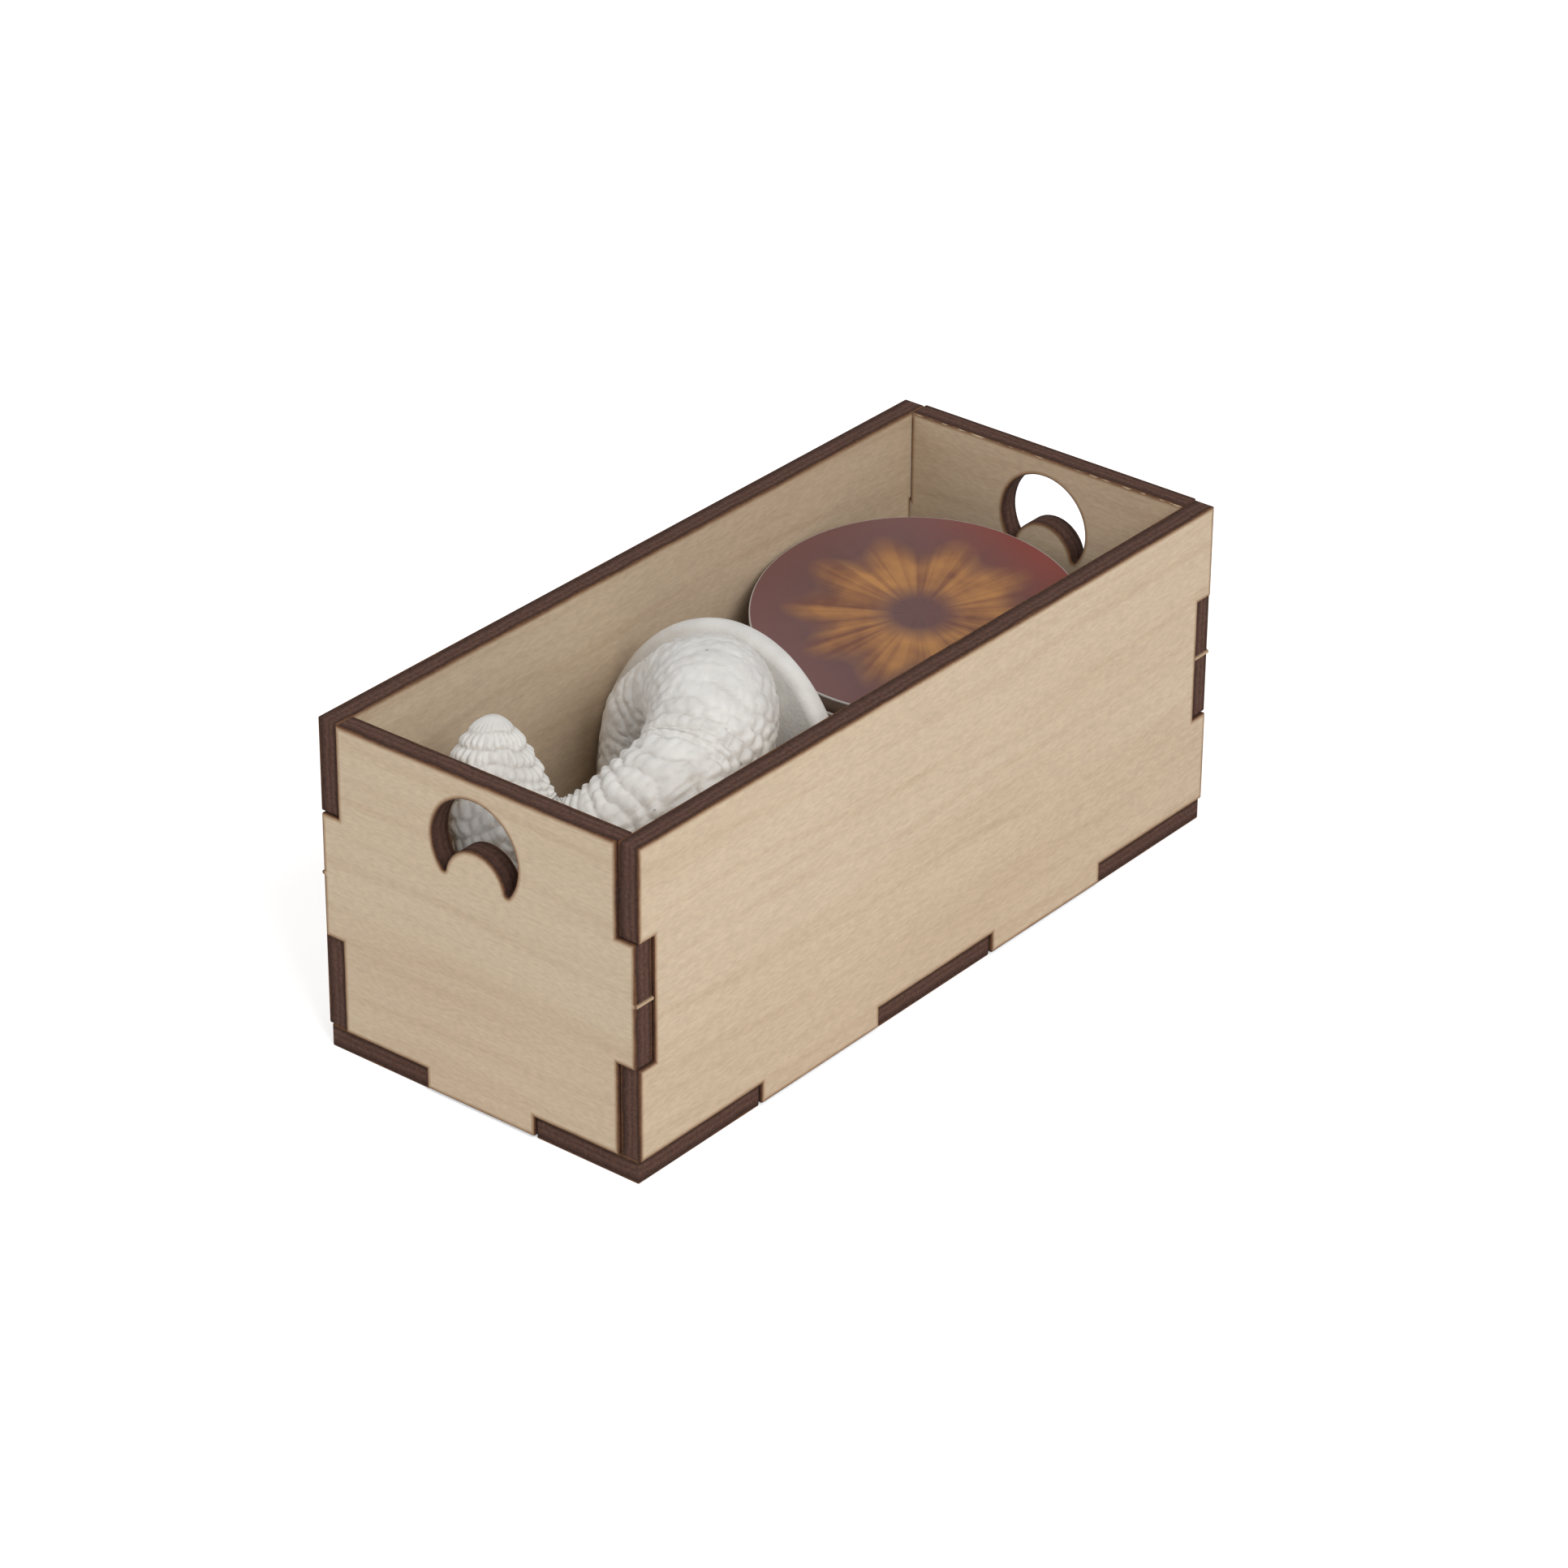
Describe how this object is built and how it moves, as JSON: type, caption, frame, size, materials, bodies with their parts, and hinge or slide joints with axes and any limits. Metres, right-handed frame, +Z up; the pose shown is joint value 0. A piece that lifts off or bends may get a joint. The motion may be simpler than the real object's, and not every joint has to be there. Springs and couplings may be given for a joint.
{
  "type": "wooden game piece tray",
  "caption": "Open finger-jointed plywood tray with crescent finger holes, holding a curled tentacle figure on a round base and a leaning pile of round tokens.",
  "frame": {"origin": "on the table under the middle of the tray", "axes": "+Z up, +Y along the tray from the figure to the tokens, +X across it"},
  "size_m": [0.048, 0.11, 0.0484],
  "materials": {
    "plywood": "raw laser-cut plywood with dark burnt edges",
    "figure_resin": "matte white cast resin with ribbed skin",
    "token_board": "printed board with a satin plum and amber face and a pale edge"
  },
  "bodies": {
    "tray": {"bottom_panel": "plywood", "left_side_panel": "plywood", "right_side_panel": "plywood", "front_end_panel": "plywood", "rear_end_panel": "plywood"},
    "figure": {"figure_base": "figure_resin", "figure_tentacle": "figure_resin"},
    "token_pile": {"token_01": "token_board", "token_02": "token_board", "token_03": "token_board", "token_04": "token_board", "token_05": "token_board", "token_06": "token_board", "token_07": "token_board", "token_08": "token_board", "token_09": "token_board", "token_10": "token_board", "token_11": "token_board", "token_12": "token_board"},
    "top_token": {"token_13": "token_board"}
  },
  "joints": [
    {"name": "figure_lift", "type": "slide", "parent": "tray", "child": "figure", "axis": [0, 0, 1], "range_m": [0, 0.06]},
    {"name": "token_pile_lift", "type": "slide", "parent": "tray", "child": "token_pile", "axis": [0, 0, 1], "range_m": [0, 0.05]},
    {"name": "top_token_lift", "type": "slide", "parent": "token_pile", "child": "top_token", "axis": [0, 0, 1], "range_m": [0, 0.03]}
  ]
}
